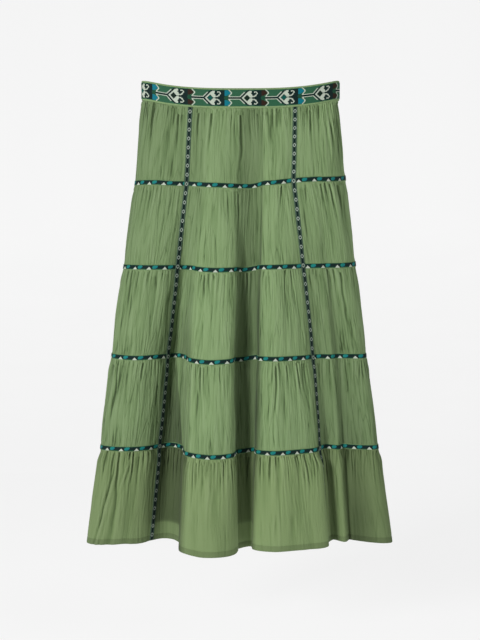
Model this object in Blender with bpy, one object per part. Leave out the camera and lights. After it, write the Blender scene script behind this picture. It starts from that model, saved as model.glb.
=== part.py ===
"""A five-tier maxi skirt of crinkled cotton, held open at the waist and falling in deep folds.

+Z is up, the front faces -Y, and the origin is the centre of the waist opening, at half the
waistband's height. Sizes are in millimetres and become metres when a mesh is made.
"""

from collections import namedtuple

import bpy
import numpy as np

MM = 0.001

# Driving sizes
WAIST_HALF_WIDTH = 184.0
WAIST_HALF_DEPTH = 50.0
WAIST_SQUARENESS = 2.6
FRONT_DIP = 20.0
BACK_DIP = 12.0
DIP_POWER = 3.0
BAND_HEIGHT = 36.0
BAND_RIBBON_HEIGHT = 30.0

# Heights of the seams at the skirt's sides, from the waistband down to the hem
BAND_BOTTOM = -BAND_HEIGHT / 2
SEAM_1 = -166.0
SEAM_2 = -325.5
SEAM_3 = -498.0
SEAM_4 = -674.0
HEM = -861.0
SEAMS = (SEAM_1, SEAM_2, SEAM_3, SEAM_4)
TIER_EDGES = (BAND_BOTTOM, *SEAMS, HEM)

# Walls, and the gap that parts two pieces
CLOTH = 1.5
BAND_WALL = 2.5
RIBBON_WALL = 1.0
GAP = 0.3

# Ribbons
SEAM_RIBBON_HEIGHT = 10.0
UPRIGHT_WIDTH = 9.0
# An upright ribbon is raised from this far past a seam ribbon's edge, and flat again from that far
RAISED_PAST = 1.0
FLAT_PAST = 6.0

# Gathers: each tier is cut fuller than the edge that it is sewn to
COLUMN_STEP = 13.0
GATHER_PATTERN = (0.0, 1.0, 0.35)
GATHER_DEPTH = 3.2
# Gathers differ in depth by this share, as a wave along the tier that shifts from tier to tier
GATHER_SPREAD = 0.28
GATHER_WAVE = 2.4
TIER_SHIFT = 1.7
# Gathers are shallower where the cloth bends tighter than this radius
GATHER_BEND_RADIUS = 26.0
SWELL = 2.0
# Rows of a tier: how far each is below the tier's top, its share of the gathers' depth and its
# share of the swell. The last is the tier's bottom.
Row = namedtuple("Row", "below gather swell")
TOP_TIER_ROWS = (Row(0.0, 0.0, 0.0), Row(22.0, 1.0, 0.8), Row(70.0, 0.5, 1.0), Row(None, 0.0, 0.0))
LOWER_TIER_ROWS = (
    Row(0.0, 0.0, 0.0),
    Row(6.5, 0.0, 0.0),
    Row(25.0, 1.0, 0.8),
    Row(80.0, 0.5, 1.0),
    Row(None, 0.0, 0.0),
)
HEM_TIER_ROWS = (*LOWER_TIER_ROWS[:-1], Row(None, 0.4, 1.2))
TIER_ROWS = (TOP_TIER_ROWS, LOWER_TIER_ROWS, LOWER_TIER_ROWS, LOWER_TIER_ROWS, HEM_TIER_ROWS)

# The fold lines, seen from above and in order round the skirt: the left side, the front, the
# right side and the back. x and y are where a line passes the waist, seams 1 and 3 and the hem,
# and drop is how far the cloth there hangs below the same seam at the sides.
Fold = namedtuple(
    "Fold",
    "name x_waist x_seam1 x_seam3 x_hem y_seam1 y_seam3 y_hem drop_seam1 drop_seam3 drop_hem",
)
FRONT_FOLDS = (
    Fold("side_left", -184, -199, -246, -293, 0, 0, 0, 6, 0, 0),
    Fold("a_outer", -173, -189, -236, -283, -24, -21, -14, 6, 0, -1),
    Fold("a_crest", -138, -154, -195, -237, -50, -40, -26, 7, 1, -3),
    Fold("a_shoulder", -111, -122, -164, -196, -54, -32, -16, 9, 0, -2),
    Fold("ribbon_left", -92, -99, -138, -174, -50, -12, 1, 9, 0, -3),
    Fold("b_floor", -80, -86, -122, -147, -54, 2, 14, 10, 0, -3),
    Fold("c_foot", -70, -75, -104, -119, -60, -26, -6, 11, 0, -2),
    Fold("c_left", -59, -64, -92, -112, -64, -58, -58, 12, 3, 2),
    Fold("c_crest", -37, -39, -56, -54, -68, -78, -95, 13, 5, 3),
    Fold("c_right", -10, -12, -18, -14, -64, -72, -79, 14, 3, 2),
    Fold("c_under", 2, -1, -12, -6, -57, -54, -60, 14, 2, 0),
    Fold("d_left", 10, 8, -11, -8, -53, -38, -38, 14, 4, 3),
    Fold("d_floor", 19, 18, 7, 7, -51, -27, -24, 14, 4, 3),
    Fold("e_foot", 32, 35, 29, 20, -54, -32, -30, 11, 0, 0),
    Fold("e_left", 42, 43, 35, 25, -63, -54, -52, 9, 0, 0),
    Fold("e_crest", 62, 62, 62, 61, -68, -68, -66, 8, 0, 0),
    Fold("e_shoulder", 78, 78, 102, 130, -66, -52, -48, 6, 0, 0),
    Fold("e_right", 89, 87, 123, 164, -62, -39, -30, 5, 0, 0),
    Fold("ribbon_right", 100, 97, 136, 166, -60, -26, -10, 4, 0, 0),
    Fold("f_valley", 111, 108, 151, 180, -60, -18, 8, 3, 0, -2),
    Fold("f_crest", 124, 126, 172, 201, -58, -23, -8, 2, 0, -2),
    Fold("f_crease", 135, 138, 184, 211, -54, -12, 8, 1, 0, -2),
    Fold("g_rise", 147, 150, 198, 222, -50, -16, 2, 1, 0, -2),
    Fold("g_crest", 163, 171, 219, 253, -38, -18, -6, 0, 0, -1),
    Fold("g_outer", 176, 188, 233, 281, -20, -14, -9, -2, 0, -1),
    Fold("side_right", 184, 198, 240, 291, 0, 0, 0, -4, 0, 0),
)
BACK_FOLDS = (
    Fold("h_outer", 175, 190, 231, 282, 26, 32, 38, -2, 0, 0),
    Fold("h_crest", 152, 168, 202, 248, 50, 70, 102, 0, 0, 0),
    Fold("h_valley", 122, 132, 160, 192, 57, 58, 64, 3, 0, 0),
    Fold("i_crest", 92, 98, 120, 142, 66, 92, 136, 5, 0, 0),
    Fold("i_valley", 58, 62, 74, 90, 60, 62, 74, 6, 0, 0),
    Fold("j_crest", 26, 28, 32, 36, 68, 98, 144, 6, 0, 0),
    Fold("j_valley", -8, -10, -16, -22, 60, 60, 72, 6, 0, 0),
    Fold("k_crest", -42, -46, -60, -76, 67, 95, 140, 6, 0, 0),
    Fold("k_valley", -76, -83, -103, -126, 58, 58, 68, 6, 0, 0),
    Fold("l_crest", -108, -118, -146, -178, 62, 86, 128, 5, 0, 0),
    Fold("l_valley", -138, -149, -182, -222, 52, 50, 60, 4, 0, 0),
    Fold("m_crest", -160, -176, -212, -258, 42, 56, 84, 5, 0, 0),
    Fold("m_outer", -176, -194, -236, -284, 24, 28, 34, 6, 0, 0),
)
FOLDS = FRONT_FOLDS + BACK_FOLDS
NAMES = [fold.name for fold in FOLDS]
RIGHT_SIDE = NAMES.index("side_right")
UPRIGHTS = (NAMES.index("ribbon_left"), NAMES.index("ribbon_right"))
LEVELS = (BAND_BOTTOM, SEAM_1, SEAM_3, HEM)
SPLINE_SAMPLES = 20
LEAST_TURN = 1e-6
SHARP_EDGE = np.radians(50)

# Base colours of the cloth and of the ribbons' grounds, as linear red, green and blue
SAGE = (0.205, 0.290, 0.140)
TEAL = (0.100, 0.190, 0.130)
FOREST = (0.035, 0.095, 0.070)


def straight_between(height, levels, values):
    """The value at a height on straight lines through (level, value), with the levels going down."""
    return np.interp(-height, [-level for level in levels], values)


def smooth_between(height, levels, values):
    """The value at a height on a monotone cubic through (level, value), with the levels going down."""
    if height >= levels[0]:
        return values[0]
    steps = np.diff(levels)
    slopes = np.diff(values) / steps
    tangents = [slopes[0]]
    for before, after in zip(slopes[:-1], slopes[1:]):
        same_way = before * after > 0
        tangents.append(2 * before * after / (before + after) if same_way else 0.0)
    tangents.append(slopes[-1])
    i = min(int(np.searchsorted(-np.array(levels), -height, side="right")) - 1, len(steps) - 1)
    t = (height - levels[i]) / steps[i]
    return (
        values[i] * (1 + 2 * t) * (1 - t) ** 2
        + values[i + 1] * t * t * (3 - 2 * t)
        + steps[i] * (tangents[i] * t * (1 - t) ** 2 + tangents[i + 1] * t * t * (t - 1))
    )


def waist_depth(x):
    """How far the waist's flattened oval lies before or behind the sides at x."""
    share = min(1.0, abs(x) / WAIST_HALF_WIDTH)
    return WAIST_HALF_DEPTH * (1 - share**WAIST_SQUARENESS) ** (1 / WAIST_SQUARENESS)


def fold_point(fold, is_front, height):
    """x, y and drop of a fold line at a height."""
    side = -1 if is_front else 1
    dip = FRONT_DIP if is_front else BACK_DIP
    y_waist = side * waist_depth(fold.x_waist)
    drop_waist = dip * (1 - abs(fold.x_waist / WAIST_HALF_WIDTH) ** DIP_POWER)
    x = straight_between(height, LEVELS, (fold.x_waist, fold.x_seam1, fold.x_seam3, fold.x_hem))
    y = smooth_between(height, LEVELS, (y_waist, fold.y_seam1, fold.y_seam3, fold.y_hem))
    drop = smooth_between(
        height, LEVELS, (drop_waist, fold.drop_seam1, fold.drop_seam3, fold.drop_hem)
    )
    return np.array((x, y, drop))


def spline_piece(p0, p1, p2, p3):
    """Points on a centripetal Catmull-Rom spline from p1 to p2."""
    knots = [0.0]
    for a, b in ((p0, p1), (p1, p2), (p2, p3)):
        knots.append(knots[-1] + np.sqrt(np.linalg.norm((b - a)[:2])))
    t0, t1, t2, t3 = knots
    t = np.linspace(t1, t2, SPLINE_SAMPLES + 1)[:, None]
    a1 = (t1 - t) / (t1 - t0) * p0 + (t - t0) / (t1 - t0) * p1
    a2 = (t2 - t) / (t2 - t1) * p1 + (t - t1) / (t2 - t1) * p2
    a3 = (t3 - t) / (t3 - t2) * p2 + (t - t2) / (t3 - t2) * p3
    b1 = (t2 - t) / (t2 - t0) * a1 + (t - t0) / (t2 - t0) * a2
    b2 = (t3 - t) / (t3 - t1) * a2 + (t - t1) / (t3 - t1) * a3
    return (t2 - t) / (t2 - t1) * b1 + (t - t1) / (t2 - t1) * b2


def spans(height):
    """For each fold line, the points from it to the next one and their distances along the cloth."""
    points = [fold_point(f, i <= RIGHT_SIDE, height) for i, f in enumerate(FOLDS)]
    count = len(points)
    found = []
    for i in range(count):
        piece = spline_piece(*(points[(i + k) % count] for k in (-1, 0, 1, 2)))
        steps = np.linalg.norm(np.diff(piece[:, :2], axis=0), axis=1)
        found.append((piece, np.concatenate(([0.0], np.cumsum(steps)))))
    return found


def ribbon_edges(i, length):
    """Where span i starts and ends clear of an upright ribbon's half width."""
    half = UPRIGHT_WIDTH / 2
    start = half if i in UPRIGHTS else 0.0
    end = length - half if (i + 1) % len(FOLDS) in UPRIGHTS else length
    return start, end


def plan_columns():
    """How many columns each span holds between its ends, set at the fourth seam."""
    counts = []
    for i, (_, along) in enumerate(spans(SEAM_4)):
        start, end = ribbon_edges(i, along[-1])
        counts.append(max(1, round((end - start) / COLUMN_STEP)))
    return counts


def column_distances(i, length, count):
    """Distances from fold line i to its span's columns, up to but without the next fold line."""
    start, end = ribbon_edges(i, length)
    inner = list(np.linspace(start, end, count + 1))
    if start > 0:
        inner = [0.0, *inner]
    return inner if end < length else inner[:-1]


def section(height, counts):
    """The cloth's middle at a height: its points, its outward directions, and its bends' radii."""
    points = []
    for i, (piece, along) in enumerate(spans(height)):
        for distance in column_distances(i, along[-1], counts[i]):
            points.append([np.interp(distance, along, piece[:, k]) for k in range(3)])
    points = np.array(points)
    before, after = np.roll(points, 1, axis=0), np.roll(points, -1, axis=0)
    along = (after - before)[:, :2]
    along /= np.linalg.norm(along, axis=1)[:, None]
    outward = np.column_stack((along[:, 1], -along[:, 0], np.zeros(len(points))))
    first, second = (points - before)[:, :2], (after - points)[:, :2]
    lengths = np.linalg.norm(first, axis=1), np.linalg.norm(second, axis=1)
    turn = np.abs(first[:, 0] * second[:, 1] - first[:, 1] * second[:, 0]) / (lengths[0] * lengths[1])
    angles = np.maximum(np.arcsin(np.minimum(turn, 1.0)), LEAST_TURN)
    radii = (lengths[0] + lengths[1]) / 2 / angles
    points[:, 2] = height - points[:, 2]
    return points, outward, radii


def column_starts(counts):
    """The column at each fold line, and one past the last column."""
    starts = [0]
    for i, (_, along) in enumerate(spans(SEAM_4)):
        starts.append(starts[-1] + len(column_distances(i, along[-1], counts[i])))
    return starts


COUNTS = plan_columns()
STARTS = column_starts(COUNTS)
COLUMNS = STARTS[-1]
FRONT = range(0, STARTS[RIGHT_SIDE] + 1)
BACK = range(STARTS[RIGHT_SIDE], COLUMNS + 1)


def gather_weights(tier):
    """How far each column stands out in a tier's gathers: uneven, and flat under the uprights."""
    columns = np.arange(COLUMNS)
    weights = np.array([GATHER_PATTERN[(c + tier) % len(GATHER_PATTERN)] for c in columns])
    gathers = columns // len(GATHER_PATTERN)
    wave = np.sin(GATHER_WAVE * gathers + TIER_SHIFT * tier)
    weights *= 1 - GATHER_SPREAD + GATHER_SPREAD * wave
    for ribbon in UPRIGHTS:
        weights[STARTS[ribbon] - 2 : STARTS[ribbon] + 3] = 0.0
    weights[[0, STARTS[RIGHT_SIDE]]] = 0.0
    return weights


def tier_rows(tier):
    """A tier's middle surface from its top seam to its bottom one: heights, points, directions."""
    top = TIER_EDGES[tier] - GAP / 2
    bottom = TIER_EDGES[tier + 1]
    if tier < len(SEAMS):
        bottom += GAP / 2
    weights = gather_weights(tier)
    rows = []
    for row in TIER_ROWS[tier]:
        height = bottom if row.below is None else top - row.below
        points, outward, radii = section(height, COUNTS)
        calm = np.minimum(1.0, radii / GATHER_BEND_RADIUS)
        out = SWELL * row.swell + GATHER_DEPTH * row.gather * weights * calm
        rows.append((height, points + outward * out[:, None], outward))
    return rows


def on_panel(rows, height):
    """Points at a height on a tier's middle surface, along the straight lines between its rows."""
    for upper, lower in zip(rows[:-1], rows[1:]):
        if upper[0] >= height >= lower[0]:
            share = (upper[0] - height) / (upper[0] - lower[0])
            return tuple(upper[k] * (1 - share) + lower[k] * share for k in (1, 2))
    raise ValueError(f"no row holds height {height}")


def parted(points, columns, is_half):
    """A row's points at some columns, with a half's end columns drawn in by half a gap."""
    row = np.array([points[c % COLUMNS] for c in columns])
    if is_half:
        for end, inner in ((0, 1), (-1, -2)):
            step = row[inner] - row[end]
            row[end] = row[end] + step / np.linalg.norm(step) * GAP / 2
    return row


def wall(name, rows, columns, low, high, material, is_half=True):
    """A closed wall along some columns: rows are (points, directions), low and high its offsets."""
    outer, inner = [], []
    for k, (points, outward) in enumerate(rows):
        lift = high[k] if isinstance(high, (list, tuple)) else high
        sink = low[k] if isinstance(low, (list, tuple)) else low
        outer.append(parted(points + outward * lift, columns, is_half))
        inner.append(parted(points + outward * sink, columns, is_half))
    height, width = len(rows), len(columns)
    vertices = np.concatenate((np.array(outer).reshape(-1, 3), np.array(inner).reshape(-1, 3)))

    def at(row, column, is_inner=False):
        return row * width + column + (height * width if is_inner else 0)

    faces = []
    for r in range(height - 1):
        for c in range(width - 1):
            faces.append((at(r, c), at(r + 1, c), at(r + 1, c + 1), at(r, c + 1)))
            faces.append(
                (at(r, c, True), at(r, c + 1, True), at(r + 1, c + 1, True), at(r + 1, c, True))
            )
        last = width - 1
        faces.append((at(r, 0), at(r, 0, True), at(r + 1, 0, True), at(r + 1, 0)))
        faces.append((at(r, last), at(r + 1, last), at(r + 1, last, True), at(r, last, True)))
    for c in range(width - 1):
        faces.append((at(0, c), at(0, c + 1), at(0, c + 1, True), at(0, c, True)))
        foot = height - 1
        faces.append((at(foot, c), at(foot, c, True), at(foot, c + 1, True), at(foot, c + 1)))
    mesh = bpy.data.meshes.new(name)
    mesh.from_pydata((vertices * MM).tolist(), [], faces)
    mesh.materials.append(material)
    mesh.shade_smooth()
    mesh.set_sharp_from_angle(angle=SHARP_EDGE)
    obj = bpy.data.objects.new(name, mesh)
    bpy.context.scene.collection.objects.link(obj)


def cloth_material(name, colour, roughness):
    """A matt cloth material."""
    material = bpy.data.materials.new(name)
    material.use_nodes = True
    shader = material.node_tree.nodes["Principled BSDF"]
    shader.inputs["Base Color"].default_value = (*colour, 1.0)
    shader.inputs["Roughness"].default_value = roughness
    shader.inputs["Metallic"].default_value = 0.0
    return material


def make_waistband(cloth, ribbon):
    """The waistband's two halves, and the patterned ribbon sewn round each."""
    points, outward, _ = section(BAND_BOTTOM, COUNTS)
    up = np.array((0.0, 0.0, 1.0))
    middle = points + up * BAND_HEIGHT / 2
    half_band, half_ribbon = up * BAND_HEIGHT / 2, up * BAND_RIBBON_HEIGHT / 2
    band_rows = [(middle + half_band, outward), (middle - half_band + up * GAP / 2, outward)]
    ribbon_rows = [(middle + half_ribbon, outward), (middle - half_ribbon, outward)]
    face = BAND_WALL / 2
    low = face + GAP
    for half, columns in (("front", FRONT), ("back", BACK)):
        # The band has no gathers, so every second column is enough between its ends
        columns = sorted({*columns[::2], *columns[:2], *columns[-2:]})
        wall(f"waistband_{half}", band_rows, columns, -face, face, cloth)
        wall(f"waist_ribbon_{half}", ribbon_rows, columns, low, low + RIBBON_WALL, ribbon)


def make_tiers(cloth):
    """The front and back panel of each tier. Returns every tier's rows."""
    tiers = [tier_rows(tier) for tier in range(len(TIER_EDGES) - 1)]
    for number, rows in enumerate(tiers, start=1):
        for half, columns in (("front", FRONT), ("back", BACK)):
            surface = [(points, outward) for _, points, outward in rows]
            wall(f"tier_{number}_{half}", surface, columns, -CLOTH / 2, CLOTH / 2, cloth)
    return tiers


def make_seam_ribbons(tiers, ribbon):
    """The narrow ribbon over each seam between two tiers."""
    low = CLOTH / 2 + GAP
    for number, height in enumerate(SEAMS, start=1):
        rows = [
            on_panel(tiers[number - 1], height + SEAM_RIBBON_HEIGHT / 2),
            on_panel(tiers[number], height - SEAM_RIBBON_HEIGHT / 2),
        ]
        for half, columns in (("front", FRONT), ("back", BACK)):
            wall(f"seam_ribbon_{number}_{half}", rows, columns, low, low + RIBBON_WALL, ribbon)


def upright_rows(tiers):
    """An upright ribbon's rows and how far each stands off the cloth, stepping over each seam's."""
    flat = CLOTH / 2 + GAP
    over = flat + RIBBON_WALL + GAP
    raised = SEAM_RIBBON_HEIGHT / 2 + RAISED_PAST
    level = SEAM_RIBBON_HEIGHT / 2 + FLAT_PAST
    rows, offs = [], []
    for tier, panel in enumerate(tiers):
        top, bottom = panel[0][0], panel[-1][0]
        if tier == 0:
            heights = [(top - RAISED_PAST, flat)]
        else:
            heights = [(top - raised, over), (top - level, flat)]
        heights += [(row[0], flat) for row in panel[1:-1] if row[0] < top - level]
        if tier < len(SEAMS):
            heights += [(bottom + level, flat), (bottom + raised, over)]
        else:
            heights += [(bottom, flat)]
        for height, off in heights:
            rows.append(on_panel(panel, height))
            offs.append(off)
    return rows, offs


def make_uprights(tiers, ribbon):
    """The two ribbons that run down the front from the waistband to the hem."""
    rows, offs = upright_rows(tiers)
    high = [off + RIBBON_WALL for off in offs]
    for name, fold in zip(("upright_ribbon_left", "upright_ribbon_right"), UPRIGHTS):
        columns = range(STARTS[fold] - 1, STARTS[fold] + 2)
        wall(name, rows, columns, offs, high, ribbon, is_half=False)


def main():
    for obj in list(bpy.data.objects):
        bpy.data.objects.remove(obj)
    sage = cloth_material("sage_cotton", SAGE, 0.92)
    teal = cloth_material("waist_ribbon", TEAL, 0.75)
    forest = cloth_material("narrow_ribbon", FOREST, 0.75)
    make_waistband(sage, teal)
    tiers = make_tiers(sage)
    make_seam_ribbons(tiers, forest)
    make_uprights(tiers, forest)


main()
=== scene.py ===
"""Looks of the tiered maxi skirt: crinkled cotton tiers, woven ribbons, soft studio light.

Lengths are in millimetres until a mesh is made. Heights go up, the front faces -y.
"""

import math
from collections import namedtuple

import bpy
import numpy as np
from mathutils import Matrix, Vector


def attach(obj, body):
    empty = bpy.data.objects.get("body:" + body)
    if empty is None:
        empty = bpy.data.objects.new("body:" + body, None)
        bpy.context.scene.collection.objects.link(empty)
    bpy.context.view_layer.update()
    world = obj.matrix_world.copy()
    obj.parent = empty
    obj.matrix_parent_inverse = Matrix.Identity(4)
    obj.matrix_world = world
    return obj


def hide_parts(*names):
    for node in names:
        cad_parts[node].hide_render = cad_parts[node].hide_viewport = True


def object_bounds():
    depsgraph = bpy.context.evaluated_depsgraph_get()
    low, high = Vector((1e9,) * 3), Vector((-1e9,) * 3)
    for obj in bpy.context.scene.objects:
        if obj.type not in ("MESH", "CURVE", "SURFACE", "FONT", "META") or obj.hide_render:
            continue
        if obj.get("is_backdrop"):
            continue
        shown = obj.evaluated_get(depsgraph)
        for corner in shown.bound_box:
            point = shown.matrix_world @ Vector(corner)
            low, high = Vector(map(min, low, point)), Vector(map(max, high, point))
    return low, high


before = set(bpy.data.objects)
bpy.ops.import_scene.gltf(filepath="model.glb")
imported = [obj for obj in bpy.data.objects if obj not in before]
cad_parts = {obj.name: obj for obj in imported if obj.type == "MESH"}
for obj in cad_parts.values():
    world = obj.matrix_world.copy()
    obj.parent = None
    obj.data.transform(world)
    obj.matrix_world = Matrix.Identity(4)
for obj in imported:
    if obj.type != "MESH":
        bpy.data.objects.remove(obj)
cad_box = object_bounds()

MM = 0.001

# The skirt's own sizes, as in its solids
WAIST_HALF_WIDTH = 184.0
WAIST_HALF_DEPTH = 50.0
WAIST_SQUARENESS = 2.6
FRONT_DIP = 20.0
BACK_DIP = 12.0
DIP_POWER = 3.0
BAND_HEIGHT = 36.0
BAND_RIBBON_HEIGHT = 30.0
BAND_BOTTOM = -BAND_HEIGHT / 2
SEAMS = (-166.0, -325.5, -498.0, -674.0)
HEM = -861.0
TIER_EDGES = (BAND_BOTTOM, *SEAMS, HEM)
LEVELS = (BAND_BOTTOM, SEAMS[0], SEAMS[2], HEM)
BAND_WALL = 2.5
SEAM_RIBBON_HEIGHT = 10.0
UPRIGHT_WIDTH = 9.0

# Fold lines as seen from above, in order round the skirt. x and y are where a line passes the
# waist, seams 1 and 3 and the hem, and drop is how far the cloth hangs below the same seam at the
# sides. A back fold has no drop from seam 3 down.
Fold = namedtuple(
    "Fold",
    "name x_waist x_seam1 x_seam3 x_hem y_seam1 y_seam3 y_hem drop_seam1 drop_seam3 drop_hem",
    defaults=(0, 0),
)
FRONT_FOLDS = [Fold(*row) for row in (
    ("side_left", -184, -199, -246, -293, 0, 0, 0, 6),
    ("a_outer", -173, -189, -236, -283, -24, -21, -14, 6, 0, -1),
    ("a_crest", -138, -154, -195, -237, -50, -40, -26, 7, 1, -3),
    ("a_shoulder", -111, -122, -164, -196, -54, -32, -16, 9, 0, -2),
    ("ribbon_left", -92, -99, -138, -174, -50, -12, 1, 9, 0, -3),
    ("b_floor", -80, -86, -122, -147, -54, 2, 14, 10, 0, -3),
    ("c_foot", -70, -75, -104, -119, -60, -26, -6, 11, 0, -2),
    ("c_left", -59, -64, -92, -112, -64, -58, -58, 12, 3, 2),
    ("c_crest", -37, -39, -56, -54, -68, -78, -95, 13, 5, 3),
    ("c_right", -10, -12, -18, -14, -64, -72, -79, 14, 3, 2),
    ("c_under", 2, -1, -12, -6, -57, -54, -60, 14, 2, 0),
    ("d_left", 10, 8, -11, -8, -53, -38, -38, 14, 4, 3),
    ("d_floor", 19, 18, 7, 7, -51, -27, -24, 14, 4, 3),
    ("e_foot", 32, 35, 29, 20, -54, -32, -30, 11, 0, 0),
    ("e_left", 42, 43, 35, 25, -63, -54, -52, 9),
    ("e_crest", 62, 62, 62, 61, -68, -68, -66, 8),
    ("e_shoulder", 78, 78, 102, 130, -66, -52, -48, 6),
    ("e_right", 89, 87, 123, 164, -62, -39, -30, 5),
    ("ribbon_right", 100, 97, 136, 166, -60, -26, -10, 4),
    ("f_valley", 111, 108, 151, 180, -60, -18, 8, 3, 0, -2),
    ("f_crest", 124, 126, 172, 201, -58, -23, -8, 2, 0, -2),
    ("f_crease", 135, 138, 184, 211, -54, -12, 8, 1, 0, -2),
    ("g_rise", 147, 150, 198, 222, -50, -16, 2, 1, 0, -2),
    ("g_crest", 163, 171, 219, 253, -38, -18, -6, 0, 0, -1),
    ("g_outer", 176, 188, 233, 281, -20, -14, -9, -2, 0, -1),
    ("side_right", 184, 198, 240, 291, 0, 0, 0, -4),
)]
BACK_FOLDS = [Fold(*row) for row in (
    ("h_outer", 175, 190, 231, 282, 26, 32, 38, -2),
    ("h_crest", 152, 168, 202, 248, 50, 70, 102, 0),
    ("h_valley", 122, 132, 160, 192, 57, 58, 64, 3),
    ("i_crest", 92, 98, 120, 142, 66, 92, 136, 5),
    ("i_valley", 58, 62, 74, 90, 60, 62, 74, 6),
    ("j_crest", 26, 28, 32, 36, 68, 98, 144, 6),
    ("j_valley", -8, -10, -16, -22, 60, 60, 72, 6),
    ("k_crest", -42, -46, -60, -76, 67, 95, 140, 6),
    ("k_valley", -76, -83, -103, -126, 58, 58, 68, 6),
    ("l_crest", -108, -118, -146, -178, 62, 86, 128, 5),
    ("l_valley", -138, -149, -182, -222, 52, 50, 60, 4),
    ("m_crest", -160, -176, -212, -258, 42, 56, 84, 5),
    ("m_outer", -176, -194, -236, -284, 24, 28, 34, 6),
)]
FOLDS = FRONT_FOLDS + BACK_FOLDS
NAMES = [fold.name for fold in FOLDS]
RIGHT_SIDE = NAMES.index("side_right")
UPRIGHTS = (NAMES.index("ribbon_left"), NAMES.index("ribbon_right"))
SPLINE_SAMPLES = 24

# How far apart the columns of a tier's and the waistband's mesh are
FRONT_STEP = 1.4
BACK_STEP = 2.3
BAND_STEP = 1.6
# How far below a tier's top its rows get further apart, and how far apart they are up to there
ROW_STEPS = ((0.0, 1.3), (12.0, 2.6), (48.0, 4.6))

# Seeds of the random draws; tiers and seam ribbons count up from theirs
TIER_SEED = 20
HEM_SEED = 60
BAND_SEED = 5
WAIST_RIBBON_SEED = 6
SEAM_RIBBON_SEED = 30
UPRIGHT_SEEDS = (41, 42)

# The cloth stands out below each seam by this much: per tier, from the top one down
SWELLS = (1.5, 2.0, 2.2, 2.4, 4.2)
# What share of it shows from one named fold line to the next: in the upper tiers, and in the
# lowest one below its seam and at its hem
SWELL_SHARES = (
    ("side_left", 0.55, 1.0, 1.0),
    ("a_shoulder", 0.8, 0.8, 0.8),
    ("c_foot", 0.4, 0.4, 0.3),
    ("c_right", 0.4, 0.4, 0.2),
    ("d_floor", 0.4, 0.4, 0.4),
    ("e_left", 0.6, 0.4, 0.2),
    ("e_shoulder", 0.8, 1.0, 0.6),
    ("e_right", 0.8, 2.3, 0.9),
    ("ribbon_right", 0.8, 0.8, 0.6),
    ("g_crest", 0.6, 0.6, 0.6),
    ("side_right", 0.6, 0.6, 0.6),
    ("h_crest", 1.0, 1.0, 1.0),
)
SWELL_RISE = 26.0
SWELL_FALL = 60.0
# Under a ribbon the cloth is flat, this far from the ribbon's middle and then fading in
FLAT_BY_SEAM = 4.8
FLAT_BY_BAND = 0.4
FADE_BY_SEAM = 2.4
FLAT_BY_UPRIGHT = 5.0
FADE_BY_UPRIGHT = 7.0
# Relief is shallower where the cloth bends tighter than this radius
CALM_RADIUS = 20.0

# Crinkles all over the cloth: width, length and height of each kind
CRINKLES = ((3.6, 42.0, 0.30), (6.5, 75.0, 0.55))
SOFT_CRINKLES = ((15.0, 120.0, 0.55), (38.0, 190.0, 1.20))
# Sharp crease lines all over the cloth: width between them, length and depth
SHARP_CRINKLES = ((10.0, 60.0, 0.42), (22.0, 110.0, 0.60))
# How crinkled each tier is near its top seam and further down, and where between these lie
CRINKLED = ((1.15, 0.7), (0.85, 0.8), (0.95, 0.95), (1.0, 1.0), (1.2, 0.35))
CRINKLED_FROM = 14.0
CRINKLED_TO = 75.0
# The cloth's lines wander sideways: width, length and how far
WANDER = ((45.0, 70.0, 3.0), (16.0, 24.0, 0.9))

# Gathers and long soft folds below a seam, and fine lines that start anywhere: spacing along the
# seam, and the least and most of width, depth, length and start
Kind = namedtuple("Kind", "spacing widths depths lengths starts")
GATHERS = Kind(5.0, (1.15, 1.75), (0.5, 2.1), (14.0, 100.0), (-1.0, 6.0))
SOFT_FOLDS = Kind(27.0, (6.0, 13.0), (0.8, 2.6), (60.0, 170.0), (-1.0, 20.0))
FINE_LINES = Kind(5.5, (1.15, 1.5), (0.3, 1.2), (30.0, 150.0), (5.0, 120.0))
# How deep the gathers are in each tier
GATHER_STRENGTHS = (0.95, 0.65, 0.75, 0.8, 0.95)
# A crease that starts less far below the seam than this starts sharply
AT_SEAM = 16.0
# What is wider than about twice this is a fold and not a crease
NARROW_REACH = 5.0
# The side seams sink into the cloth as one narrow line
SIDE_SEAM_WIDTH = 1.8
SIDE_SEAM_DEPTH = 0.9

# The creases below are this much deeper and longer than the table says, as they fade out at their
# ends and finer ones fill them partly
HAND_STRENGTH = 1.1
HAND_LENGTH = 1.25
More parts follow.
